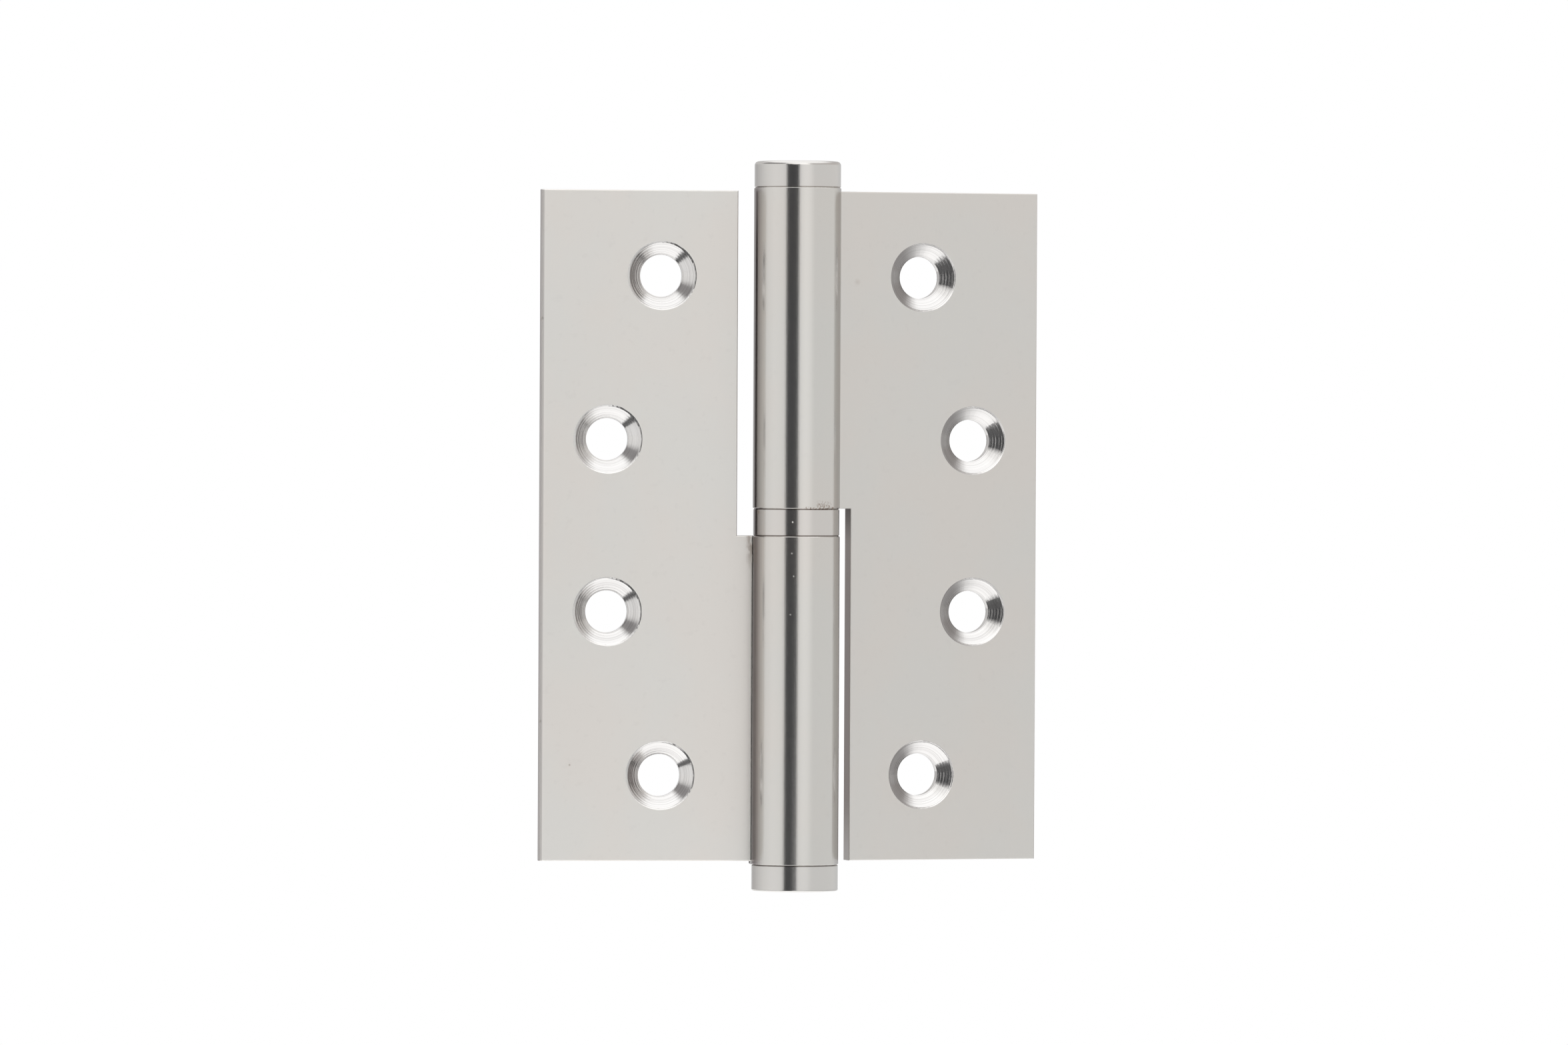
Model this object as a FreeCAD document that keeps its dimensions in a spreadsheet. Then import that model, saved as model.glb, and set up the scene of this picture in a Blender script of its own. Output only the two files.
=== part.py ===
import FreeCAD, Part
import os
import Sketcher

# Lift-off butt hinge, stood upright. The pin axis is the Z axis, and mid-height of the leaves is Z = 0.
# The countersunk faces look towards -Y, and the pin leaf runs out along -X.
# All lengths are in millimetres, and the turn is in degrees.
SIZES = (
    # Leaves: one blanked steel strip each, with four countersunk screw holes.
    ("leaf_height", 100.0),
    ("leaf_reach", 38.2),
    ("sheet_gauge", 3.0),
    ("face_setback", 0.75),
    ("notch_reach", 8.8),
    ("rest_turn", 12.0),
    ("back_edge_round", 0.5),
    ("front_edge_break", 0.15),
    # Near screws stand off the notch and the leaf's ends, far ones off its outer edge and mid-height.
    ("near_screw_inset", 11.35),
    ("near_screw_margin", 12.75),
    ("far_screw_inset", 10.05),
    ("far_screw_rise", 12.85),
    ("screw_hole", 6.3),
    ("countersink", 10.0),
    ("countersink_angle", 90.0),
    ("rim_round", 0.4),
    # Rolled knuckle: the strip folds back behind the pin and then rolls round it.
    ("bore_diameter", 7.0),
    ("fold_radius", 3.0),
    ("fold_flat", 0.45),
    ("roll_seam", 0.1),
    ("knuckle_proud", 0.46),
    ("seam_break", 0.15),
    # Bearing ring between the two knuckles.
    ("ring_base", -1.45),
    ("ring_height", 4.05),
    ("ring_inset", 0.08),
    # Pin: pressed into the lower knuckle, running in the ring and in the upper knuckle.
    ("running_clearance", 0.03),
    ("pin_headroom", 4.46),
    ("pin_nose_length", 3.0),
    ("pin_nose_diameter", 4.6),
    ("pin_nose_round", 0.6),
    # Tips: turned caps whose spigots are pressed into the open ends of the knuckles.
    ("tip_height", 3.9),
    ("tip_inset", 0.06),
    ("crown_round", 0.6),
    ("foot_round", 0.25),
    ("spigot_length", 5.0),
    ("spigot_gap", 0.5),
    ("lead_chamfer", 0.4),
)

# Lengths that follow from the driving dimensions.
BORE = "(Sizes.bore_diameter / 2)"
KNUCKLE = "(Sizes.bore_diameter / 2 + Sizes.sheet_gauge)"
FOLD_INNER = "(Sizes.fold_radius - Sizes.sheet_gauge / 2)"
FOLD_OUTER = "(Sizes.fold_radius + Sizes.sheet_gauge / 2)"
FOLD_RISE = "(Sizes.face_setback + Sizes.sheet_gauge / 2 + Sizes.fold_radius)"
FOLD_SPAN = "(Sizes.bore_diameter / 2 + Sizes.sheet_gauge / 2 + Sizes.fold_radius)"
FOLD_START = f"sqrt(pow({FOLD_SPAN}; 2) - pow({FOLD_RISE}; 2))"
SEAM_RADIUS = f"({FOLD_OUTER} + Sizes.roll_seam)"
BARREL_END = "(Sizes.leaf_height / 2 + Sizes.knuckle_proud)"
RING_TOP = "(Sizes.ring_base + Sizes.ring_height)"
RUNNING_BORE = "(Sizes.bore_diameter / 2 - Sizes.running_clearance)"
TAB_REACH = f"({FOLD_START} + Sizes.fold_flat / 2)"
BACK_FACE = "(Sizes.face_setback + Sizes.sheet_gauge)"
SCREWS = (
    ("(Sizes.notch_reach + Sizes.near_screw_inset)", "(Sizes.leaf_height / 2 - Sizes.near_screw_margin)"),
    ("(Sizes.leaf_reach - Sizes.far_screw_inset)", "Sizes.far_screw_rise"),
)

# Two places nearer than this are the same.
SAME_PLACE = 1e-4

# How a constraint names the sketch's axes, its origin, and the places on a line or an arc.
HORIZONTAL_AXIS, VERTICAL_AXIS = -1, -2
START, END, CENTRE = range(1, 4)
ORIGIN = (HORIZONTAL_AXIS, START)

doc = FreeCAD.newDocument("LiftOffHinge")


def make_sheet():
    """Write the driving dimensions into the spreadsheet."""
    sheet = doc.addObject("Spreadsheet::Sheet", "Sizes")
    for row, (alias, number) in enumerate(SIZES, start=1):
        sheet.set(f"A{row}", alias)
        sheet.set(f"B{row}", str(number))
        sheet.setAlias(f"B{row}", alias)
    doc.recompute()
    return sheet


sizes = make_sheet()


def measure(expression):
    """Give the number that an expression on the spreadsheet has now."""
    result = sizes.evalExpression(expression)
    return float(getattr(result, "Value", result))


def make_body(node):
    """Start the body of one sub-part, whose label is the node's name."""
    body = doc.addObject("PartDesign::Body", node)
    body.Label = node
    return body


def make_sketch(body, name, plane, offset="0"):
    """Lay a sketch on one of the body's own origin planes, moved along the plane's normal."""
    sketch = body.newObject("Sketcher::SketchObject", name)
    support = next(item for item in body.Origin.OriginFeatures if item.Role == plane)
    sketch.AttachmentSupport = (support, [""])
    sketch.MapMode = "FlatFace"
    sketch.setExpression("AttachmentOffset.Base.z", offset)
    doc.recompute()
    return sketch


def tie(sketch, kind, references, expression):
    """Add one dimension to a sketch and bind it to the spreadsheet."""
    index = sketch.addConstraint(Sketcher.Constraint(kind, *references, measure(expression)))
    sketch.setExpression(f"Constraints[{index}]", expression)


def place_point(sketch, geometry, point, across, up):
    """Hold a point of a sketch at two bound distances from the sketch's origin."""
    for kind, axis, expression in (("DistanceX", VERTICAL_AXIS, across), ("DistanceY", HORIZONTAL_AXIS, up)):
        if expression == "0":
            sketch.addConstraint(Sketcher.Constraint("PointOnObject", geometry, point, axis))
        else:
            tie(sketch, kind, (*ORIGIN, geometry, point), expression)


def draw_outline(sketch, corners):
    """Draw a closed outline of straight lines through corners given as pairs of expressions."""
    spots = [FreeCAD.Vector(measure(across), measure(up), 0) for across, up in corners]
    count = len(spots)
    for number in range(count):
        sketch.addGeometry(Part.LineSegment(spots[number], spots[(number + 1) % count]), False)
    for number in range(count):
        following = (number + 1) % count
        sketch.addConstraint(Sketcher.Constraint("Coincident", number, END, following, START))
    for number, (across, up) in enumerate(corners):
        place_point(sketch, number, START, across, up)


def pad(body, name, sketch, length, backwards=False):
    """Extrude a sketch by a bound length."""
    feature = body.newObject("PartDesign::Pad", name)
    feature.Profile = sketch
    feature.Reversed = backwards
    feature.setExpression("Length", length)
    doc.recompute()
    return feature


def turn_profile(body, name, sketch):
    """Revolve a sketch once round the vertical axis of its plane."""
    feature = body.newObject("PartDesign::Revolution", name)
    feature.Profile = sketch
    feature.ReferenceAxis = (sketch, ["V_Axis"])
    feature.Angle = 360.0
    doc.recompute()
    return feature


def edges_where(feature, test):
    """Name the edges of a feature whose ends and middle all pass a test."""
    names = []
    for number, edge in enumerate(feature.Shape.Edges, start=1):
        middle = edge.valueAt((edge.FirstParameter + edge.LastParameter) / 2)
        if all(test(spot) for spot in [vertex.Point for vertex in edge.Vertexes] + [middle]):
            names.append(f"Edge{number}")
    return names


def round_edges(body, name, base, edges, radius):
    """Round the named edges of a feature."""
    feature = body.newObject("PartDesign::Fillet", name)
    feature.Base = (base, edges)
    feature.setExpression("Radius", radius)
    doc.recompute()
    return feature


def near(first, second):
    """Tell whether two lengths are the same."""
    return abs(first - second) < SAME_PLACE


# Leaves. Each is drawn lying out along -X with its knuckle at the lower end.


def add_plate(body, knuckle_top):
    """Blank the flat plate with its notch, roll its back edges and break its front ones."""
    face = "-Sizes.face_setback"
    half = "Sizes.leaf_height / 2"
    outline = make_sketch(body, "plate_outline", "XZ_Plane", face)
    draw_outline(
        outline,
        [
            ("-Sizes.leaf_reach", f"-{half}"),
            (f"-{TAB_REACH}", f"-{half}"),
            (f"-{TAB_REACH}", knuckle_top),
            ("-Sizes.notch_reach", knuckle_top),
            ("-Sizes.notch_reach", half),
            ("-Sizes.leaf_reach", half),
        ],
    )
    plate = pad(body, "plate", outline, "Sizes.sheet_gauge", backwards=True)
    inner_edge = -measure(TAB_REACH)
    back = measure(BACK_FACE)
    front = measure("Sizes.face_setback")


    def free_edges(feature, level):
        """Name the edges in the face at a level, leaving out the one that the knuckle covers."""
        covered = edges_where(feature, lambda spot: near(spot.x, inner_edge))
        around = edges_where(feature, lambda spot: near(spot.y, level))
        return [name for name in around if name not in covered]

    rolled = round_edges(body, "rolled_edges", plate, free_edges(plate, back), "Sizes.back_edge_round")
    return round_edges(body, "broken_edges", rolled, free_edges(rolled, front), "Sizes.front_edge_break")


def add_knuckle(body, knuckle_top):
    """Roll the knuckle: a short flat, the fold behind the pin, the turn round it and the closing end."""
    foot = f"-{BARREL_END}"
    section = make_sketch(body, "roll_section", "XY_Plane", foot)
    bore = measure(BORE)
    knuckle = measure(KNUCKLE)
    start = measure(FOLD_START)
    rise = measure(FOLD_RISE)
    span = measure(FOLD_SPAN)
    flat = measure("Sizes.fold_flat")
    front = measure("Sizes.face_setback")
    back = measure(BACK_FACE)
    seam = measure(SEAM_RADIUS)
    centre = FreeCAD.Vector(-start, rise, 0)
    hub = FreeCAD.Vector(0, 0, 0)
    across = FreeCAD.Vector(centre)
    across.normalize()
    back_tangent = across * knuckle
    front_tangent = across * bore

    def meeting(radius):
        """Where the closing end meets a circle round the pin, on the side of the countersunk face."""
        along = (span * span + radius * radius - seam * seam) / (2 * span)
        aside = (radius * radius - along * along) ** 0.5
        return across * along + FreeCAD.Vector(-across.y, across.x, 0) * aside

    def arc(middle, first, last):
        """An arc about a centre, counter-clockwise from one point to another."""
        radius = first.distanceToPoint(middle)
        begin = (first - middle).getAngle(FreeCAD.Vector(1, 0, 0))
        finish = (last - middle).getAngle(FreeCAD.Vector(1, 0, 0))
        begin = begin if first.y >= middle.y else -begin
        finish = finish if last.y >= middle.y else -finish
        circle = Part.Circle(middle, FreeCAD.Vector(0, 0, 1), radius)
        return Part.ArcOfCircle(circle, begin, finish)

    outer_end = meeting(knuckle)
    inner_end = meeting(bore)
    flat_back = FreeCAD.Vector(-start - flat, back, 0)
    flat_front = FreeCAD.Vector(-start - flat, front, 0)
    fold_back = FreeCAD.Vector(-start, back, 0)
    fold_front = FreeCAD.Vector(-start, front, 0)
    pieces = [
        Part.LineSegment(flat_front, flat_back),
        Part.LineSegment(flat_back, fold_back),
        arc(centre, fold_back, back_tangent),
        arc(hub, outer_end, back_tangent),
        arc(centre, outer_end, inner_end),
        arc(hub, inner_end, front_tangent),
        arc(centre, fold_front, front_tangent),
        Part.LineSegment(fold_front, flat_front),
    ]
    cut, back_line, back_fold, outside, closing, inside, front_fold, front_line = range(len(pieces))
    section.addGeometry(pieces, False)
    joints = [
        ("Coincident", cut, END, back_line, START),
        ("Tangent", back_line, END, back_fold, START),
        ("Tangent", back_fold, END, outside, END),
        ("Coincident", outside, START, closing, START),
        ("Coincident", closing, END, inside, START),
        ("Tangent", inside, END, front_fold, END),
        ("Tangent", front_fold, START, front_line, START),
        ("Coincident", front_line, END, cut, START),
        ("Coincident", outside, CENTRE, *ORIGIN),
        ("Coincident", inside, CENTRE, *ORIGIN),
        ("Coincident", front_fold, CENTRE, back_fold, CENTRE),
        ("Coincident", closing, CENTRE, back_fold, CENTRE),
        ("Vertical", cut),
        ("Horizontal", back_line),
        ("Horizontal", front_line),
    ]
    for joint in joints:
        section.addConstraint(Sketcher.Constraint(*joint))
    tie(section, "DistanceY", (*ORIGIN, cut, START), "Sizes.face_setback")
    tie(section, "DistanceY", (cut, START, cut, END), "Sizes.sheet_gauge")
    tie(section, "DistanceX", (back_line, START, back_line, END), "Sizes.fold_flat")
    tie(section, "Radius", (inside,), BORE)
    tie(section, "Radius", (back_fold,), FOLD_INNER)
    tie(section, "Radius", (closing,), SEAM_RADIUS)
    doc.recompute()
    return pad(body, "knuckle", section, f"{knuckle_top} + {BARREL_END}")


def break_knuckle_end(body, name, level, inwards):
    """Break the outer rim of one knuckle end, from the closing seam round to the fold."""
    profile = make_sketch(body, f"{name}_profile", "XZ_Plane")
    size = "Sizes.seam_break"
    draw_outline(
        profile,
        [
            (f"{KNUCKLE} - 2 * {size}", f"{level} - {inwards} * {size}"),
            (f"{KNUCKLE} + {size}", f"{level} - {inwards} * {size}"),
            (f"{KNUCKLE} + {size}", f"{level} + {inwards} * 2 * {size}"),
        ],
    )
    groove = body.newObject("PartDesign::Groove", name)
    groove.Profile = profile
    groove.ReferenceAxis = (profile, ["V_Axis"])
    groove.Type = "TwoAngles"
    fold_angle = f"(180 deg - atan({FOLD_RISE} / {FOLD_START}))"
    squares = f"pow({FOLD_SPAN}; 2) + pow({KNUCKLE}; 2) - pow({SEAM_RADIUS}; 2)"
    seam_angle = f"acos(({squares}) / (2 * {FOLD_SPAN} * {KNUCKLE}))"
    groove.setExpression("Angle", fold_angle)
    groove.setExpression("Angle2", f"360 deg - {fold_angle} - {seam_angle}")
    doc.recompute()
    return groove


def drill_screw_holes(body):
    """Drill and countersink the four screw holes from the front face."""
    centres = make_sketch(body, "screw_centres", "XZ_Plane", "-Sizes.face_setback")
    spots = [(f"-{reach}", f"{side}{rise}") for reach, rise in SCREWS for side in ("", "-")]
    for number, (across, up) in enumerate(spots):
        middle = FreeCAD.Vector(measure(across), measure(up), 0)
        circle = Part.Circle(middle, FreeCAD.Vector(0, 0, 1), measure("Sizes.screw_hole / 2"))
        centres.addGeometry(circle, False)
        tie(centres, "Radius", (number,), "Sizes.screw_hole / 2")
        place_point(centres, number, CENTRE, across, up)
    doc.recompute()
    holes = body.newObject("PartDesign::Hole", "screw_holes")
    holes.Profile = centres
    holes.DepthType = "ThroughAll"
    holes.HoleCutType = "Countersink"
    holes.HoleCutCustomValues = True
    holes.setExpression("Diameter", "Sizes.screw_hole")
    holes.setExpression("HoleCutDiameter", "Sizes.countersink")
    holes.setExpression("HoleCutCountersinkAngle", "Sizes.countersink_angle")
    doc.recompute()
    return holes


def make_leaf(node, knuckle_top):
    """Make one leaf: a flat plate and the knuckle rolled from the same strip."""
    body = make_body(node)
    add_plate(body, knuckle_top)
    add_knuckle(body, knuckle_top)
    break_knuckle_end(body, "foot_break", f"-{BARREL_END}", "1")
    break_knuckle_end(body, "head_break", knuckle_top, "-1")
    holes = drill_screw_holes(body)
    front = measure("Sizes.face_setback")
    rim = measure("Sizes.countersink / 2")
    screws = [(measure(reach), measure(rise)) for reach, rise in SCREWS]

    def on_rim(spot):
        return near(spot.y, front) and any(
            near(((spot.x + reach) ** 2 + (abs(spot.z) - rise) ** 2) ** 0.5, rim) for reach, rise in screws
        )

    round_edges(body, "dished_rims", holes, edges_where(holes, on_rim), "Sizes.rim_round")
    return body


# Turned pieces. Each is a profile revolved round the pin axis.


def make_turned(node, corners):
    """Turn one piece from a profile of straight lines."""
    body = make_body(node)
    profile = make_sketch(body, f"{node}_profile", "XZ_Plane")
    draw_outline(profile, corners)
    return body, turn_profile(body, f"{node}_turning", profile)


def make_pin():
    """Turn the pin, with a press fit below the ring, a running fit above it and a tapered nose."""
    foot = f"(-{BARREL_END} + Sizes.spigot_length + Sizes.spigot_gap)"
    tip = f"({BARREL_END} - Sizes.spigot_length - Sizes.pin_headroom)"
    body, turning = make_turned(
        "hinge_pin",
        [
            ("0", foot),
            (f"{BORE} - Sizes.lead_chamfer", foot),
            (BORE, f"{foot} + Sizes.lead_chamfer"),
            (BORE, "Sizes.ring_base"),
            (RUNNING_BORE, "Sizes.ring_base"),
            (RUNNING_BORE, f"{tip} - Sizes.pin_nose_length"),
            ("Sizes.pin_nose_diameter / 2", tip),
            ("0", tip),
        ],
    )
    top = measure(tip)
    shoulder = measure(f"{tip} - Sizes.pin_nose_length")

    def on_nose(spot):
        return (near(spot.z, top) or near(spot.z, shoulder)) and not near(abs(spot.x) + abs(spot.y), 0)

    round_edges(body, "nose_round", turning, edges_where(turning, on_nose), "Sizes.pin_nose_round")
    return body


def make_ring():
    """Turn the plain bearing ring that carries the upper knuckle."""
    outside = f"({KNUCKLE} - Sizes.ring_inset)"
    break_size = "Sizes.seam_break"
    body, _ = make_turned(
        "bearing_ring",
        [
            (BORE, "Sizes.ring_base"),
            (f"{outside} - {break_size}", "Sizes.ring_base"),
            (outside, f"Sizes.ring_base + {break_size}"),
            (outside, f"{RING_TOP} - {break_size}"),
            (f"{outside} - {break_size}", RING_TOP),
            (BORE, RING_TOP),
        ],
    )
    return body


def make_tip(node, edge_round):
    """Turn one tip, drawn head up with the knuckle end at height nought."""
    outside = f"({KNUCKLE} - Sizes.tip_inset)"
    body, turning = make_turned(
        node,
        [
            ("0", "-Sizes.spigot_length"),
            (f"{BORE} - Sizes.lead_chamfer", "-Sizes.spigot_length"),
            (BORE, "-Sizes.spigot_length + Sizes.lead_chamfer"),
            (BORE, "0"),
            (f"{outside} - Sizes.seam_break", "0"),
            (outside, "Sizes.seam_break"),
            (outside, "Sizes.tip_height"),
            ("0", "Sizes.tip_height"),
        ],
    )
    top = measure("Sizes.tip_height")
    rim = measure(outside)

    def on_top_rim(spot):
        return near(spot.z, top) and near((spot.x**2 + spot.y**2) ** 0.5, rim)

    round_edges(body, f"{node}_edge", turning, edges_where(turning, on_top_rim), edge_round)
    return body


# The assembly. The lift leaf is the pin leaf's form turned end over end, then opened past flat.
pin_leaf = make_leaf("pin_leaf", "Sizes.ring_base")
lift_leaf = make_leaf("lift_leaf", f"-{RING_TOP}")
turned_over = "rotation(vector(0; 1; 0); 180)"
opened = "rotation(vector(0; 0; 1); Sizes.rest_turn)"
lift_leaf.setExpression("Placement", f"placement(vector(0; 0; 0); {opened} * {turned_over})")
hinge_pin = make_pin()
bearing_ring = make_ring()
top_cap = make_tip("top_cap", "Sizes.crown_round")
top_cap.setExpression("Placement", f"placement(vector(0; 0; {BARREL_END}); rotation(vector(0; 0; 1); 0))")
bottom_cap = make_tip("bottom_cap", "Sizes.foot_round")
bottom_cap.setExpression("Placement", f"placement(vector(0; 0; -{BARREL_END}); rotation(vector(1; 0; 0); 180))")
doc.recompute()

# Every object has to have worked out, and every sub-part has to be one valid solid.
for item in doc.Objects:
    if "Invalid" in item.State or "Error" in item.State:
        raise RuntimeError(f"{item.Label} failed: {item.State}")
os.makedirs("parts", exist_ok=True)
for body in (pin_leaf, lift_leaf, hinge_pin, bearing_ring, top_cap, bottom_cap):
    shape = body.Shape
    if shape.isNull() or not shape.isValid() or len(shape.Solids) != 1:
        raise RuntimeError(f"{body.Label} is not one valid solid")
    shape.exportStep(f"parts/{body.Label}.step")
    print(body.Label, round(shape.Volume, 2), "cubic millimetres")
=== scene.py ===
"""Looks of a lift-off butt hinge: satin nickel finishes, a small light tent and the catalogue camera."""

import logging
import math
from dataclasses import dataclass, replace
from enum import Enum

import bmesh
import bpy
from mathutils import Matrix, Vector


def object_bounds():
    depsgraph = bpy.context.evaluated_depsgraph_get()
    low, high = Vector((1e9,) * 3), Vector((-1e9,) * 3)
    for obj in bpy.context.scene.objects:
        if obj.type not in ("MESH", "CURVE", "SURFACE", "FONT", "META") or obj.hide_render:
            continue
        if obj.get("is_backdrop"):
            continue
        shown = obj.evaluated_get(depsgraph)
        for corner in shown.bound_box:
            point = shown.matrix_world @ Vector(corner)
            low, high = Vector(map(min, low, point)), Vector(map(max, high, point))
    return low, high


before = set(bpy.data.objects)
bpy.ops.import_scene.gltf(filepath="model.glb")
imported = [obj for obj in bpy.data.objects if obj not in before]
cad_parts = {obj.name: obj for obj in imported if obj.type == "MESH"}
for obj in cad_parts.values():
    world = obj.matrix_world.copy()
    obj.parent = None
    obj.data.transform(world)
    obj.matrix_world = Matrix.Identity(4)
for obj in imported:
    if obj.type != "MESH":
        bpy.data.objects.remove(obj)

log = logging.getLogger("hinge")

MM = 0.001
FULL_TURN = 360.0

Socket = bpy.types.NodeSocket
Colour = tuple[float, float, float]
Triple = tuple[float, float, float]
Span = tuple[float, float]
Window = tuple[float, float, float, float]


# Shader arithmetic


class Value:
    """A shader socket that takes part in Python arithmetic, one Math node for each operator."""

    def __init__(self, graph: "Graph", socket: Socket) -> None:
        """Hold a socket of a graph.

        Args:
            graph: The graph that the socket's node stands in.
            socket: The output that gives the number.
        """
        self.graph = graph
        self.socket = socket

    def __add__(self, other: "Operand") -> "Value":
        """Add."""
        return self.graph.math("ADD", self, other)

    def __radd__(self, other: float) -> "Value":
        """Add to a number."""
        return self.graph.math("ADD", other, self)

    def __sub__(self, other: "Operand") -> "Value":
        """Subtract."""
        return self.graph.math("SUBTRACT", self, other)

    def __rsub__(self, other: float) -> "Value":
        """Subtract from a number."""
        return self.graph.math("SUBTRACT", other, self)

    def __mul__(self, other: "Operand") -> "Value":
        """Multiply."""
        return self.graph.math("MULTIPLY", self, other)

    def __rmul__(self, other: float) -> "Value":
        """Multiply a number."""
        return self.graph.math("MULTIPLY", other, self)

    def __truediv__(self, other: "Operand") -> "Value":
        """Divide."""
        return self.graph.math("DIVIDE", self, other)

    def __neg__(self) -> "Value":
        """Turn the sign."""
        return self.graph.math("MULTIPLY", self, -1.0)

    def size(self) -> "Value":
        """Give the size without its sign."""
        return self.graph.math("ABSOLUTE", self)

    def degrees(self) -> "Value":
        """Turn radians into degrees."""
        return self * math.degrees(1.0)

    def rise(self, none: float, full: float) -> "Value":
        """Go smoothly from 0 to 1.

        Args:
            none: Where the step is 0.
            full: Where the step is 1, above or below none.

        Returns:
            The step, from 0 to 1.
        """
        ends = {"Value": self, "From Min": min(none, full), "From Max": max(none, full)}
        ends |= {"To Min": 0.0, "To Max": 1.0} if none < full else {"To Min": 1.0, "To Max": 0.0}
        return self.graph.value("ShaderNodeMapRange", "Result", {"interpolation_type": "SMOOTHSTEP"}, ends)

    def within(self, window: Window) -> "Value":
        """Give 1 inside a window with soft sides.

        Args:
            window: Where it starts, where it is full, where it fades and where it has ended.

        Returns:
            The share, from 0 to 1.
        """
        start, full, fading, end = window
        return self.rise(start, full) * self.rise(end, fading)


Operand = Value | float


@dataclass(frozen=True)
class Pattern:
    """A soft noise: how often it repeats along each of its coordinates, and its finer layers."""

    scale: Triple
    detail: float = 3.0


class Graph:
    """A node tree that is filled from Python expressions."""

    def __init__(self, tree: bpy.types.NodeTree) -> None:
        """Start with an empty tree.

        Args:
            tree: The tree of a material or of the world.
        """
        self.tree = tree
        tree.nodes.clear()

    def node(
        self,
        kind: str,
        settings: dict[str, object] | None = None,
        sockets: dict[str | int, object] | None = None,
    ) -> bpy.types.Node:
        """Add one node.

        Args:
            kind: The node's type.
            settings: Its own settings, set first; "stops" fills a colour ramp.
            sockets: What goes into its inputs, as numbers, colours or links.

        Returns:
            The node.
        """
        made = self.tree.nodes.new(kind)
        for name, setting in (settings or {}).items():
            if name == "stops":
                self._fill_ramp(made.color_ramp, setting)
            else:
                setattr(made, name, setting)
        for name, given in (sockets or {}).items():
            if isinstance(given, Value):
                given = given.socket
            if isinstance(given, Socket):
                self.tree.links.new(given, made.inputs[name])
            else:
                made.inputs[name].default_value = given
        return made

    @staticmethod
    def _fill_ramp(ramp: bpy.types.ColorRamp, stops: list[tuple[float, Colour]]) -> None:
        """Put the stops into a colour ramp.

        Args:
            ramp: A new ramp, which has two stops.
            stops: The place of each stop, from 0 to 1, with its colour.
        """
        while len(ramp.elements) < len(stops):
            ramp.elements.new(1.0)
        for element, (place, colour) in zip(ramp.elements, stops):
            element.position = place
            element.color = (*colour, 1.0)

    def value(
        self, kind: str, output: str | int, settings: dict[str, object], sockets: dict[str | int, object]
    ) -> Value:
        """Add one node and take one of its outputs as a value."""
        return Value(self, self.node(kind, settings, sockets).outputs[output])

    def math(self, operation: str, *operands: Operand) -> Value:
        """Add a Math node.

        Args:
            operation: The node's operation.
            operands: One or two values or numbers.

        Returns:
            The result.
        """
        return self.value("ShaderNodeMath", 0, {"operation": operation}, dict(enumerate(operands)))

    def higher(self, first: Operand, second: Operand) -> Value:
        """Give the higher of two values."""
        return self.math("MAXIMUM", first, second)

    def length(self, *sides: Value) -> Value:
        """Give the length of a vector.

        Args:
            sides: The vector's sides.

        Returns:
            The length.
        """
        total = sides[0] * sides[0]
        for side in sides[1:]:
            total = total + side * side
        return self.math("SQRT", total)

    def bearing(self, across: Value, away: Value) -> Value:
        """Give a direction's bearing, 0 on the photograph's side and growing to the right, in degrees."""
        return self.math("ARCTAN2", across, -away).degrees()

    def apart(self, vector: Socket) -> tuple[Value, Value, Value]:
        """Take a vector apart into its three values."""
        split = self.node("ShaderNodeSeparateXYZ", {}, {0: vector})
        return tuple(Value(self, socket) for socket in split.outputs)

    def turned_back(self, vector: Socket, kind: str, turn: float = 0.0, scale: float = 1.0) -> Socket:
        """Turn coordinates or a direction back round the pin's axis.

        Args:
            vector: The coordinates or the direction.
            kind: POINT for coordinates, NORMAL for a direction.
            turn: The turn that is taken back, in degrees.
            scale: What coordinates are multiplied by.

        Returns:
            The vector's socket.
        """
        sockets = {"Vector": vector, "Rotation": (0.0, 0.0, -math.radians(turn)), "Scale": (scale,) * 3}
        return self.node("ShaderNodeMapping", {"vector_type": kind}, sockets).outputs[0]

    def noise(self, place: Socket, pattern: Pattern) -> Value:
        """Give a soft noise round a half.

        Args:
            place: The coordinates that it is read at.
            pattern: Which noise it is.

        Returns:
            The noise, mostly from 0.3 to 0.7.
        """
        spread = self.node("ShaderNodeVectorMath", {"operation": "MULTIPLY"}, {0: place, 1: pattern.scale})
        sockets = {"Vector": spread.outputs[0], "Scale": 1.0, "Detail": pattern.detail}
        return self.value("ShaderNodeTexNoise", 0, {}, sockets)

    def nearness(self, place: Socket, spot: Triple, radius: float) -> Value:
        """Give 1 at a spot, falling evenly to 0 at a radius from it."""
        distance = self.value("ShaderNodeVectorMath", "Value", {"operation": "DISTANCE"}, {0: place, 1: spot})
        return self.higher(1.0 - distance * (1.0 / radius), 0.0)

    def blend(self, share: Operand, first: Socket | Colour, second: Socket | Colour) -> Socket:
        """Mix two colours.

        Args:
            share: How much of the second there is.
            first: A colour or a colour socket.
            second: A colour or a colour socket.

        Returns:
            The mixed colour's socket.
        """
        colours = [(*c, 1.0) if isinstance(c, tuple) else c for c in (first, second)]
        sockets = {0: share, 6: colours[0], 7: colours[1]}
        return self.node("ShaderNodeMix", {"data_type": "RGBA"}, sockets).outputs[2]


# Noises, in millimetres

NOISE_MIDDLE = 0.5
DRIFT = Pattern((0.06, 0.06, 0.05))
SPECKLE = Pattern((14.0, 14.0, 14.0))
MOTTLE = Pattern((3.5, 3.5, 3.5))
BRUSHED = Pattern((9.0, 9.0, 0.35), detail=2.0)
PITS = Pattern((0.9, 0.9, 0.9), detail=4.0)
CHATTER = Pattern((9.0, 1.0, 1.0), detail=2.0)
DIRT_PATCHES = Pattern((1.4, 1.4, 0.7))
SCUFF_SPECKS = Pattern((4.0, 4.0, 3.2))


# Wear of the leaves


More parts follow.
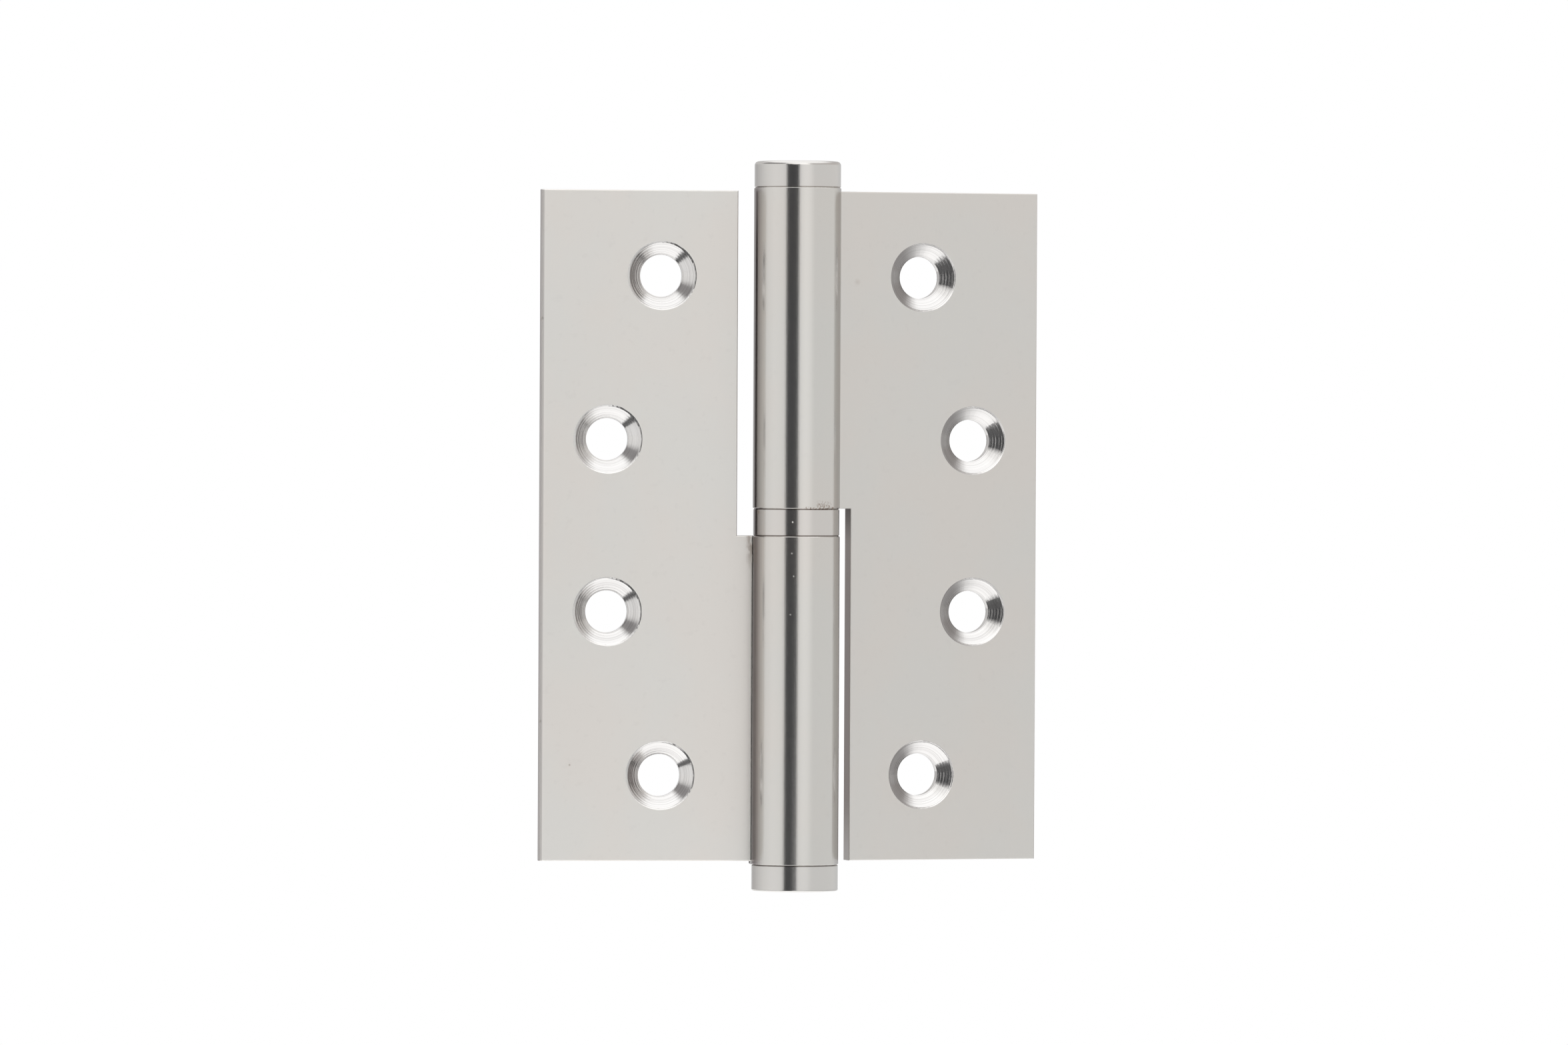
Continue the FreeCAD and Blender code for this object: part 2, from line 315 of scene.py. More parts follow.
@dataclass(frozen=True)
class CornerDirt:
    """Brown dirt in the corner between the notch and the knuckle."""

    reaches: Window = (5.9, 6.4, 6.8, 7.7)
    heights: Window = (-7.5, -2.4, -1.5, -1.3)
    levels: Span = (0.36, 0.6)
    share: float = 0.6

    def at(self, graph: Graph, place: Socket, reach: Value, up: Value) -> Value:
        """Give how much dirt there is.

        Args:
            graph: The material's graph.
            place: Coordinates in millimetres.
            reach: Millimetres outward from the pin's axis.
            up: Millimetres above the hinge's middle.

        Returns:
            The share of dirt, from 0 to 1.
        """
        patchy = graph.noise(place, DIRT_PATCHES).rise(*self.levels)
        return reach.within(self.reaches) * up.within(self.heights) * patchy * self.share


@dataclass(frozen=True)
class Scuff:
    """Scuffed specks on the knuckle just above the ring: a low band, and a taller patch in it."""

    patch_reaches: Window = (0.8, 1.6, 3.2, 4.0)
    patch_top: Span = (4.1, 3.0)
    patch_share: float = 0.8
    band_reaches: Window = (-1.4, -0.8, 4.0, 4.6)
    band_top: Span = (3.0, 2.75)
    bottom: Span = (2.5, 2.62)
    levels: Span = (0.49, 0.58)
    share: float = 0.85

    def at(self, graph: Graph, place: Socket, reach: Value, up: Value) -> Value:
        """Give how much of the surface is scuffed.

        Args:
            graph: The material's graph.
            place: Coordinates in millimetres.
            reach: Millimetres outward from the pin's axis.
            up: Millimetres above the hinge's middle.

        Returns:
            The share of scuff, from 0 to 1.
        """
        patch = reach.within(self.patch_reaches) * up.rise(*self.patch_top)
        band = reach.within(self.band_reaches) * up.rise(*self.band_top)
        specks = graph.noise(place, SCUFF_SPECKS).rise(*self.levels)
        return graph.higher(patch * self.patch_share, band) * up.rise(*self.bottom) * specks * self.share


@dataclass(frozen=True)
class Mark:
    """One small mark of use, placed in millimetres with the leaf turned back flat."""

    place: Triple
    radius: float
    depth: float = 0.0
    stain: float = 0.0


# Finishes


@dataclass(frozen=True)
class LeafTraits:
    """Where a leaf lies, and what its finish has of its own.

    Its node's name, the sign of X that it lies on, its turn round the pin at rest in degrees, how light its
    plate is beside the plain finish (painted light: the pin leaf's is lighter for the light that falls on
    it), how much flatter than cut its countersinks look in degrees, how much painted shade darkens them on
    the barrel's side, the share of the painted shade on its knuckle, how much painted shade lies along its
    outer edge, and its wear.
    rolled over, and its wear.
    """

    node: str
    side: float
    turn: float
    tone: float
    lean: float
    cut_painted_shade: float
    knuckle_painted_shade: float
    edge_painted_shade: float
    wear: CornerDirt | Scuff


class LeafSide(Enum):
    """The two leaves."""

    PIN = LeafTraits(
        node="pin_leaf",
        side=-1.0,
        turn=0.0,
        # Painted light: the pin leaf's plate is painted lighter than the lift leaf's, for the light that
        # falls on it.
        tone=1.165,
        lean=7.0,
        cut_painted_shade=0.0,
        knuckle_painted_shade=1.0,
        # Painted shade along its outer edge.
        edge_painted_shade=0.7,
        wear=CornerDirt(),
    )
    LIFT = LeafTraits(
        node="lift_leaf",
        side=1.0,
        turn=12.0,
        tone=1.0,
        lean=14.0,
        # Painted shade on the barrel's side of its countersinks.
        cut_painted_shade=0.6,
        knuckle_painted_shade=0.85,
        edge_painted_shade=0.0,
        wear=Scuff(),
    )


@dataclass(frozen=True)
class Metal:
    """Satin plated metal, as one Principled shader with fine grain. Lengths are in millimetres."""

    name: str
    colour: Colour
    roughness: float
    grain: float = 0.004
    mottle: float = 0.002
    stain_colour: Colour = (0.3, 0.23, 0.18)
    warm: Triple = (1.008, 0.995, 0.99)
    cool: Triple = (0.992, 1.0, 1.004)
    drift_levels: Span = (0.35, 0.65)
    # Painted shade: these darken the knuckles and the ring beside the leaves, most on the pin leaf's side,
    # where the leaves' shade and dark reflection fall.
    painted_shade_colour: Colour = (0.09, 0.055, 0.057)
    painted_shade_depths: Window = (-4.4, -1.4, -0.3, 0.4)
    painted_shade_left: Span = (2.0, -2.0)
    painted_shade_share: float = 0.45
    painted_shade_left_share: float = 0.35

    @staticmethod
    def start(name: str) -> tuple[bpy.types.Material, Graph]:
        """Make an empty material.

        Args:
            name: The material's name.

        Returns:
            The material and its graph.
        """
        material = bpy.data.materials.new(name)
        material.use_nodes = True
        return material, Graph(material.node_tree)

    def tinted(self, graph: Graph, place: Socket, tone: float = 1.0) -> Socket:
        """Give the base colour, drifting a little between warm and cool.

        Args:
            graph: The material's graph.
            place: Coordinates in millimetres.
            tone: How light the piece is beside the plain finish.

        Returns:
            The colour.
        """
        cool, warm = (
            tuple(channel * factor * tone for channel, factor in zip(self.colour, tint))
            for tint in (self.cool, self.warm)
        )
        return graph.blend(graph.noise(place, DRIFT).rise(*self.drift_levels), cool, warm)

    def with_painted_shade(self, graph: Graph, colour: Socket, across: Value, depth: Value, share: Operand) -> Socket:
        """Paint shade onto a round piece beside the leaves, most on the pin leaf's side.

        Args:
            graph: The material's graph.
            colour: The colour so far.
            across: Millimetres to the right of the axis, in the rest pose.
            depth: Millimetres behind the axis, in the rest pose.
            share: How much of the painted shade the piece has.

        Returns:
            The colour with the painted shade.
        """
        darkness = across.rise(*self.painted_shade_left) * self.painted_shade_left_share + self.painted_shade_share
        return graph.blend(depth.within(self.painted_shade_depths) * darkness * share, colour, self.painted_shade_colour)

    def marked(
        self, graph: Graph, place: Socket, marks: tuple[Mark, ...], colour: Socket, height: Value
    ) -> tuple[Socket, Value]:
        """Add the marks of use.

        Args:
            graph: The material's graph.
            place: Coordinates in millimetres.
            marks: The marks.
            colour: The colour so far.
            height: The relief so far, in millimetres.

        Returns:
            The colour and the relief with the marks.
        """
        for mark in marks:
            near = graph.nearness(place, mark.place, mark.radius)
            if mark.stain:
                colour = graph.blend(near * mark.stain, colour, self.stain_colour)
            if mark.depth:
                height = height - near * mark.depth
        return colour, height

    @staticmethod
    def finish(graph: Graph, colour: Socket, roughness: Value, height: Value) -> None:
        """Close a material with its shader.

        Args:
            graph: The material's graph.
            colour: The base colour.
            roughness: The roughness.
            height: The relief, in millimetres.
        """
        bump = graph.node("ShaderNodeBump", {}, {"Strength": 1.0, "Distance": MM, "Height": height})
        sockets = {
            "Base Color": colour,
            "Metallic": 1.0,
            "Roughness": roughness,
            "Normal": bump.outputs[0],
        }
        shader = graph.node("ShaderNodeBsdfPrincipled", {}, sockets)
        graph.node("ShaderNodeOutputMaterial", {}, {"Surface": shader.outputs[0]})


@dataclass(frozen=True)
class LeafReading:
    """What a leaf's finish reads at a point: its place, the face that it is on, and the patterns there.

    Places are in millimetres with the leaf turned back flat, except for the two in the rest pose. Faces and
    patterns are shares from 0 to 1.
    """

    place: Socket
    rest_across: Value
    rest_depth: Value
    depth: Value
    up: Value
    reach: Value
    outward: Value
    from_screw: Value
    cut: Value
    barrel: Value
    sheared: Value
    speckle: Value
    brushed: Value
    chatter: Value
    wear: Value


@dataclass(frozen=True)
class LeafFinish(Metal):
    """The leaves' satin nickel, with bright turned countersinks, sheared edges, the marks of use, and painted
    light and shade.
    """

    barrel: Span = (6.85, 6.6)
    barrel_tone: float = 0.985
    barrel_roughness: float = 0.17
    plate_facing: Span = (0.2, 0.6)
    pit_levels: Span = (0.6, 0.72)
    pit_share: float = 0.05
    # The sheared faces' colour: duller steel, darkened further with painted shade.
    edge_colour: Colour = (0.49, 0.465, 0.455)
    edge_roughness: float = 0.4
    # Painted shade: a narrow strip of the front face along the outer edge, in the edge's colour.
    edge_painted_shade_reaches: Span = (37.7, 37.88)
    # Painted shade: the notch's face is painted darker than the other sheared edges; on the lift leaf it
    # deepens towards the root, on the pin leaf it is dark all along, and it lightens towards the mouth.
    notch: Span = (9.7, 9.5)
    notch_painted_shade_colour: Colour = (0.3, 0.265, 0.255)
    notch_root_shade: Span = (3.0, -2.5)
    notch_root_painted_shade_colour: Colour = (0.11, 0.095, 0.09)
    notch_end: Span = (40.0, 50.0)
    near_screw: Span = (20.15, 37.25)
    far_screw: Span = (28.15, 12.85)
    countersink_radius: float = 5.0
    wall_per_radius: float = math.sqrt(2.0)
    rim: Span = (5.2, 5.12)
    back_face: Span = (3.7, 3.6)
    cone_end: Span = (2.65, 2.55)
    cut_colour: Colour = (0.74, 0.73, 0.72)
    # Painted shade: the countersinks' walls on the barrel's side are darkened for the dark barrel they
    # mirror; the same dark colour also draws the fine turning rings.
    cut_painted_shade_and_ring_colour: Colour = (0.14, 0.125, 0.12)
    cut_painted_shade_sides: Span = (-0.1, -0.75)
    cut_roughness: float = 0.15
    ring_levels: Span = (0.55, 0.35)
    ring_share: float = 0.22
    tool_mark_pitch: float = 0.36
    tool_mark_depth: float = 0.005
    chatter_depth: float = 0.01
    chatter_drift: float = 0.02
    speckle_share: float = 0.6
    speckle_roughness: float = 0.04
    brushed_share: float = 0.4
    brushed_roughness: float = 0.05
    wear_depths: Span = (1.4, 0.9)
    wear_relief: float = 0.02

    def made_for(self, leaf: LeafSide, marks: tuple[Mark, ...]) -> bpy.types.Material:
        """Make the finish of one leaf.

        Args:
            leaf: Which leaf it is for.
            marks: The marks of use on it.

        Returns:
            The material.
        """
        traits = leaf.value
        material, graph = self.start(f"{self.name}_{traits.node}")
        at = self._read(graph, traits)
        colour = self._plate_colour(graph, traits, at)
        notched = at.sheared * at.reach.rise(*self.notch)
        colour = graph.blend(notched, colour, self._notch_painted_shade(graph, leaf, at))
        colour = graph.blend(at.cut, colour, self._cut_colour(graph, traits, at))
        colour = graph.blend(at.wear, colour, self.stain_colour)
        height = self._relief(graph, traits, at)
        colour, height = self.marked(graph, at.place, marks, colour, height)
        self.finish(graph, colour, self._roughened(at), height)
        return material

    def _read(self, graph: Graph, traits: LeafTraits) -> LeafReading:
        """Read what the finish depends on.

        Args:
            graph: The material's graph.
            traits: The leaf's own values.

        Returns:
            The reading at each point.
        """
        coordinates = graph.node("ShaderNodeTexCoord").outputs
        at_rest = graph.apart(graph.turned_back(coordinates["Object"], "POINT", scale=1 / MM))
        place = graph.turned_back(coordinates["Object"], "POINT", traits.turn, 1 / MM)
        across, depth, up = graph.apart(place)
        reach = across * traits.side
        outward, from_screw = self._round_screws(graph, reach, up)
        cut = from_screw.rise(*self.rim) * depth.rise(*self.back_face)
        barrel = graph.length(across, depth).rise(*self.barrel)
        facing = graph.apart(graph.turned_back(coordinates["Normal"], "NORMAL", traits.turn))
        sideways = 1.0 - facing[1].size().rise(*self.plate_facing)
        rings = graph.node("ShaderNodeCombineXYZ", {}, {0: from_screw, 1: up * self.chatter_drift})
        wear = traits.wear.at(graph, place, reach, up)
        return LeafReading(
            place=place,
            rest_across=at_rest[0],
            rest_depth=at_rest[1],
            depth=depth,
            up=up,
            reach=reach,
            outward=outward,
            from_screw=from_screw,
            cut=cut,
            barrel=barrel,
            sheared=sideways * (1.0 - cut) * (1.0 - barrel),
            speckle=graph.noise(place, SPECKLE),
            brushed=graph.noise(place, BRUSHED),
            chatter=graph.noise(rings.outputs[0], CHATTER),
            wear=wear * depth.rise(*self.wear_depths),
        )

    def _round_screws(self, graph: Graph, reach: Value, up: Value) -> tuple[Value, Value]:
        """Place a point beside the nearest screw hole.

        Args:
            graph: The material's graph.
            reach: Millimetres outward from the pin's axis.
            up: Millimetres above the hinge's middle.

        Returns:
            How far the point lies outward of the hole's centre, and its distance from it.
        """
        rise = up.size()
        halfway = (self.near_screw[1] + self.far_screw[1]) / 2.0
        near = graph.math("GREATER_THAN", rise, halfway)
        centre = [near * (a - b) + b for a, b in zip(self.near_screw, self.far_screw)]
        outward = reach - centre[0]
        return outward, graph.length(outward, rise - centre[1])

    def _plate_colour(self, graph: Graph, traits: LeafTraits, at: LeafReading) -> Socket:
        """Give the plate's, the knuckle's and the sheared edges' colour, with painted light and painted
        shade.

        Args:
            graph: The material's graph.
            traits: The leaf's own values.
            at: What the finish reads.

        Returns:
            The colour.
        """
        # The plate's tone, painted lighter on the pin leaf for the light that falls on it.
        colour = self.tinted(graph, at.place, traits.tone)
        colour = graph.blend(at.barrel, colour, self.tinted(graph, at.place, self.barrel_tone))
        # Painted shade on the knuckle beside the leaves.
        shade = at.barrel * traits.knuckle_painted_shade
        colour = self.with_painted_shade(graph, colour, at.rest_across, at.rest_depth, shade)
        pits = graph.noise(at.place, PITS).rise(*self.pit_levels)
        colour = graph.blend(pits * self.pit_share, colour, self.edge_colour)
        # Painted shade along the pin leaf's outer edge.
        edge_painted_shade = at.reach.rise(*self.edge_painted_shade_reaches) * traits.edge_painted_shade
        colour = graph.blend(edge_painted_shade, colour, self.edge_colour)
        return graph.blend(at.sheared, colour, self.edge_colour)

    def _notch_painted_shade(self, graph: Graph, leaf: LeafSide, at: LeafReading) -> Socket:
        """Give the notch's colour, with painted shade that is darkest at its root.

        Args:
            graph: The material's graph.
            leaf: Which leaf it is for.
            at: What the finish reads.

        Returns:
            The colour.
        """
        from_root = at.up * -leaf.value.side
        # Painted shade deepening towards the notch's root on the lift leaf.
        root = from_root.rise(*self.notch_root_shade) if leaf is LeafSide.LIFT else 1.0
        colour = graph.blend(root, self.notch_painted_shade_colour, self.notch_root_painted_shade_colour)
        return graph.blend(from_root.rise(*self.notch_end), colour, self.edge_colour)

    def _cut_colour(self, graph: Graph, traits: LeafTraits, at: LeafReading) -> Socket:
        """Give the countersinks' colour, with its fine rings and painted shade on the barrel's side.

        Args:
            graph: The material's graph.
            traits: The leaf's own values.
            at: What the finish reads.

        Returns:
            The colour.
        """
        # Painted shade on the barrel's side of the countersinks.
        barrel_side_shade = (at.outward / at.from_screw).rise(*self.cut_painted_shade_sides) * traits.cut_painted_shade
        colour = graph.blend(barrel_side_shade, self.cut_colour, self.cut_painted_shade_and_ring_colour)
        rings = at.chatter.rise(*self.ring_levels) * at.depth.rise(*self.cone_end) * self.ring_share
        return graph.blend(rings, colour, self.cut_painted_shade_and_ring_colour)

    def _roughened(self, at: LeafReading) -> Value:
        """Give the roughness.

        Args:
            at: What the finish reads.

        Returns:
            The roughness.
        """
        roughness = self.roughness + (at.brushed - NOISE_MIDDLE) * self.brushed_roughness
        roughness = roughness + (at.speckle - NOISE_MIDDLE) * self.speckle_roughness
        for face, own_roughness in (
            (at.barrel, self.barrel_roughness),
            (at.sheared, self.edge_roughness),
            (at.cut, self.cut_roughness),
        ):
            roughness = roughness + face * (own_roughness - self.roughness)
        return roughness

    def _relief(self, graph: Graph, traits: LeafTraits, at: LeafReading) -> Value:
        """Give the relief, whose even slope in a countersink leans its wall.

        Args:
            graph: The material's graph.
            traits: The leaf's own values.
            at: What the finish reads.

        Returns:
            The relief, in millimetres.
        """
        flat = (at.speckle * self.speckle_share + at.brushed * self.brushed_share) * self.grain
        flat = flat + at.barrel * graph.noise(at.place, MOTTLE) * self.mottle
        turning = graph.math("SINE", at.from_screw * (2.0 * math.pi / self.tool_mark_pitch))
        turned = turning * (self.tool_mark_depth / 2.0) + at.chatter * self.chatter_depth
        turned = turned * at.depth.rise(*self.cone_end)
        slope = self.wall_per_radius * math.tan(math.radians(traits.lean))
        flatter = graph.higher(self.countersink_radius - at.from_screw, 0.0) * slope
        return flat * (1.0 - at.cut) + (turned + flatter) * at.cut - at.wear * self.wear_relief


@dataclass(frozen=True)
class TurnedFinish(Metal):
    """Plated metal off a lathe, with fine marks that run round it, and painted shade beside the leaves and
    along its seams.
    """

    mark_pitch: float = 0.11
    mark_stretch: float = 0.4
    mark_share: float = 0.5
    speckle_share: float = 0.5
    speckle_roughness: float = 0.05
    # The share of painted shade beside the leaves.
    shade: float = 0.0
    # Painted shade along the seams with the neighbouring pieces.
    seams: tuple[float, ...] = ()
    seam_reach: Span = (0.2, 0.1)
    seam_shade_share: float = 0.4

    def made(self, marks: tuple[Mark, ...]) -> bpy.types.Material:
        """Make the finish.

        Args:
            marks: The marks of use on the piece.

        Returns:
            The material.
        """
        material, graph = self.start(self.name)
        coordinates = graph.node("ShaderNodeTexCoord").outputs
        place = graph.turned_back(coordinates["Object"], "POINT", scale=1 / MM)
        across, depth, up = graph.apart(place)
        lathe = Pattern((self.mark_stretch, self.mark_stretch, 1.0 / self.mark_pitch), detail=2.0)
        rings = graph.noise(place, lathe)
        speckle = graph.noise(place, SPECKLE)
        roughness = self.roughness + (speckle - NOISE_MIDDLE) * self.speckle_roughness
        height = (rings * self.mark_share + speckle * self.speckle_share) * self.grain
        height = height + graph.noise(place, MOTTLE) * self.mottle
        colour = self.tinted(graph, place)
        # Painted shade beside the leaves.
        if self.shade:
            colour = self.with_painted_shade(graph, colour, across, depth, self.shade)
        # Painted shade along the seams.
        for seam in self.seams:
            beside = (up - seam).size().rise(*self.seam_reach)
            colour = graph.blend(beside * self.seam_shade_share, colour, self.painted_shade_colour)
        colour, height = self.marked(graph, place, marks, colour, height)
        self.finish(graph, colour, roughness, height)
        return material


# Marks of use

LEAF_MARKS = {
    LeafSide.PIN: (
        Mark((-1.3, -6.37, -4.0), radius=0.11, depth=0.022),
        Mark((-1.0, -6.42, -7.4), radius=0.11, depth=0.02),
        Mark((-1.5, -6.32, -13.1), radius=0.1, depth=0.02),
        Mark((-38.2, 0.8, 30.8), radius=0.35, depth=0.05, stain=0.5),
        Mark((-38.2, 0.8, -29.2), radius=0.3, depth=0.05, stain=0.5),
        Mark((-33.7, 0.75, -35.7), radius=0.22, depth=0.02, stain=0.6),
    ),
    LeafSide.LIFT: (Mark((9.7, 0.75, 36.5), radius=0.6, stain=0.2),),
}
RING_MARKS = (
    Mark((-1.2, -6.31, 0.66), radius=0.13, depth=0.03),
    Mark((-5.9, -2.4, 2.1), radius=0.45, depth=0.01, stain=0.8),
)


# Sub-assemblies


@dataclass
class Leaf:
    """One leaf: a blanked plate and its rolled knuckle."""

    side: LeafSide
    finish: LeafFinish
    marks: tuple[Mark, ...]

    def dress(self) -> bpy.types.Object:
        """Give the leaf its finish.

        Returns:
            The leaf.
        """
        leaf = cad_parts[self.side.value.node]
        leaf.material_slots[0].material = self.finish.made_for(self.side, self.marks)
        return leaf


@dataclass
class Turned:
    """One turned piece on the pin's axis: the ring, a tip or the pin."""

    node: str
    finish: TurnedFinish
    marks: tuple[Mark, ...] = ()

    def dress(self) -> bpy.types.Object:
        """Give the piece its finish.

        Returns:
            The piece.
        """
        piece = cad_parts[self.node]
        piece.material_slots[0].material = self.finish.made(self.marks)
        return piece


# Studio


@dataclass(frozen=True)
class LightTent:
    """A white tent round the hinge, with the opening that the camera looks through.

    Bearings are in degrees from the photograph's side, growing to the right, and heights in degrees above
    the level.
    """

    walls: tuple[tuple[float, Colour], ...] = (
        (-180.0, (0.64, 0.64, 0.64)),
        (-150.0, (0.54, 0.53, 0.53)),
        (-100.0, (0.86, 0.85, 0.84)),
        (-70.0, (0.96, 0.95, 0.94)),
        (-36.0, (0.92, 0.91, 0.9)),
        (2.0, (0.92, 0.91, 0.9)),
        (15.0, (1.0, 0.99, 0.98)),
        (28.0, (0.98, 0.97, 0.96)),
        (40.0, (0.83, 0.825, 0.815)),
        (120.0, (0.83, 0.825, 0.815)),
        (150.0, (0.68, 0.68, 0.68)),
        (180.0, (0.64, 0.64, 0.64)),
    )
    outer_walls: tuple[tuple[float, Colour], ...] = (
        (-180.0, (0.63, 0.615, 0.605)),
        (-100.0, (0.85, 0.84, 0.83)),
        (-36.0, (0.9, 0.89, 0.88)),
        (-2.0, (1.5, 1.49, 1.47)),
        (22.0, (1.5, 1.49, 1.47)),
        (32.0, (0.69, 0.665, 0.65)),
        (100.0, (0.66, 0.635, 0.62)),
        (180.0, (0.63, 0.615, 0.605)),
    )
    outer_heights: Span = (4.0, 14.0)
    ceiling: Colour = (1.35, 1.35, 1.35)
    ceiling_heights: Span = (30.0, 55.0)
    gap: Colour = (0.32, 0.31, 0.31)
    gap_bearings: Window = (-130.0, -115.0, -46.0, -38.0)
    gap_heights: Window = (12.0, 26.0, 40.0, 54.0)
    opening: Colour = (0.062, 0.062, 0.065)
    opening_bearings: Window = (-37.0, -34.0, -3.0, 0.0)
    opening_heights: Span = (19.0, 15.0)
    stand_bearings: Window = (-37.0, -34.0, -20.0, -14.0)
    stand_heights: Span = (24.0, 18.0)
    backdrop: Colour = (1.0, 1.0, 1.0)

    def pitch(self) -> bpy.types.World:
        """Make the world.

        Returns:
            The world.
        """
        world = bpy.data.worlds.new("light_tent")
        world.use_nodes = True
        bpy.context.scene.world = world
        graph = Graph(world.node_tree)
        across, away, up = graph.apart(graph.node("ShaderNodeTexCoord").outputs["Generated"])
        bearing = graph.bearing(across, away)
        height = graph.math("ARCSINE", up).degrees()
        level, outer = (self._ramp(graph, bearing, walls) for walls in (self.walls, self.outer_walls))
        tent = graph.blend(height.size().rise(*self.outer_heights), level, outer)
        tent = graph.blend(height.rise(*self.ceiling_heights), tent, self.ceiling)
        gap = bearing.within(self.gap_bearings) * height.within(self.gap_heights)
        tent = graph.blend(gap, tent, self.gap)
        tent = graph.blend(self._opening_mask(bearing, height), tent, self.opening)
        camera = graph.node("ShaderNodeLightPath").outputs["Is Camera Ray"]
        seen = graph.blend(Value(graph, camera), tent, self.backdrop)
        light = graph.node("ShaderNodeBackground", {}, {"Color": seen, "Strength": 1.0})
        graph.node("ShaderNodeOutputWorld", {}, {"Surface": light.outputs[0]})
        return world

    @staticmethod
    def _ramp(graph: Graph, bearing: Value, walls: tuple[tuple[float, Colour], ...]) -> Socket:
        """Give the walls' light.

        Args:
            graph: The world's graph.
            bearing: The bearing.
            walls: The light at some bearings.

        Returns:
            The light's colour.
        """
        stops = [(degrees / FULL_TURN + 0.5, colour) for degrees, colour in walls]
        turn = bearing * (1.0 / FULL_TURN) + 0.5
        return graph.node("ShaderNodeValToRGB", {"stops": stops}, {0: turn}).outputs[0]

    def _opening_mask(self, bearing: Value, height: Value) -> Value:
        """Cut out the opening in front of the hinge, and the camera's stand in it.

        Args:
            bearing: The bearing.
            height: The height.

        Returns:
            The share, which is 1 inside.
        """
        opening = bearing.within(self.opening_bearings) * height.size().rise(*self.opening_heights)
        stand = bearing.within(self.stand_bearings) * height.rise(*self.stand_heights)
        return bearing.graph.higher(opening, stand)


@dataclass(frozen=True)
class Floor:
    """A plain pale floor below the hinge, whose seam with the tent only the metal shows.

    Lengths are in metres, and bearings in degrees from the photograph's side, growing to the right.
    """

    drop: float = 0.085
    radius: float = 0.9
    segments: int = 96
    colour: Colour = (0.84, 0.84, 0.84)
    glow: float = 0.35
    mirrored_glow: float = 0.06
    middle_glow: float = 0.46
    middle: Span = (0.235, 0.165)
    dark_colour: Colour = (0.11, 0.11, 0.112)
    seam_start: Span = (0.16, 0.175)
    seam_end: Span = (0.265, 0.245)
    seam_bearings: Window = (-150.0, -130.0, 40.0, 60.0)
    front_bearings: Span = (-40.0, -25.0)
    front_set_back: float = 0.045
    right: Span = (0.04, 0.19)
    right_share: float = 0.3
    stand_start: Span = (0.185, 0.205)
    stand_bearings: Window = (-43.0, -39.0, -15.0, -11.0)

    def lay(self) -> bpy.types.Object:
        """Make the floor under the hinge's lowest point.

        Returns:
            The floor.
        """
        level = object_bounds()[0].z - self.drop
        sheet = bmesh.new()
        bmesh.ops.create_circle(sheet, cap_ends=True, radius=self.radius, segments=self.segments)
        bmesh.ops.translate(sheet, verts=sheet.verts, vec=(0.0, 0.0, level))
        mesh = bpy.data.meshes.new("floor")
        sheet.to_mesh(mesh)
        sheet.free()
        floor = bpy.data.objects.new("floor", mesh)
        bpy.context.scene.collection.objects.link(floor)
        mesh.materials.append(self._paint())
        floor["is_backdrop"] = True
        return floor

    def _paint(self) -> bpy.types.Material:
        """Make the floor's white, which keeps the shadow under the hinge.

        Returns:
            The material.
        """
        material = bpy.data.materials.new("floor_white")
        material.use_nodes = True
        graph = Graph(material.node_tree)
        path = graph.node("ShaderNodeLightPath")
        camera = Value(graph, path.outputs["Is Camera Ray"])
        mirrored = Value(graph, path.outputs["Is Glossy Ray"])
        across, away, _ = graph.apart(graph.node("ShaderNodeTexCoord").outputs["Object"])
        out = graph.length(across, away)
        on_right = across.rise(*self.right)
        near_camera = self._near_camera(graph, graph.bearing(across, away), out)
        dark = graph.higher(near_camera, on_right * self.right_share) * mirrored
        more_glow = self.middle_glow - self.mirrored_glow
        lit = out.rise(*self.middle) * (1.0 - on_right) * more_glow + self.mirrored_glow
        glow = camera * self.glow + mirrored * (1.0 - dark) * lit
        sockets = {
            "Base Color": graph.blend(dark, self.colour, self.dark_colour),
            "Roughness": 1.0,
            "Specular IOR Level": 0.0,
            "Emission Color": graph.blend(glow, (0.0, 0.0, 0.0), (1.0, 1.0, 1.0)),
            "Emission Strength": 1.0,
        }
        shader = graph.node("ShaderNodeBsdfPrincipled", {}, sockets)
        graph.node("ShaderNodeOutputMaterial", {}, {"Surface": shader.outputs[0]})
        return material

    def _near_camera(self, graph: Graph, bearing: Value, out: Value) -> Value:
        """Draw the dark seam and the camera's stand on the floor.

        Args:
            graph: The material's graph.
            bearing: The bearing from the hinge.
            out: Metres from the hinge.

        Returns:
            How dark the floor is, from 0 to 1.
        """
        set_back = out - bearing.rise(*self.front_bearings) * self.front_set_back
        seam = set_back.rise(*self.seam_start) * out.rise(*self.seam_end)
        stand = bearing.within(self.stand_bearings) * out.rise(*self.stand_start)
        return graph.higher(seam * bearing.within(self.seam_bearings), stand)


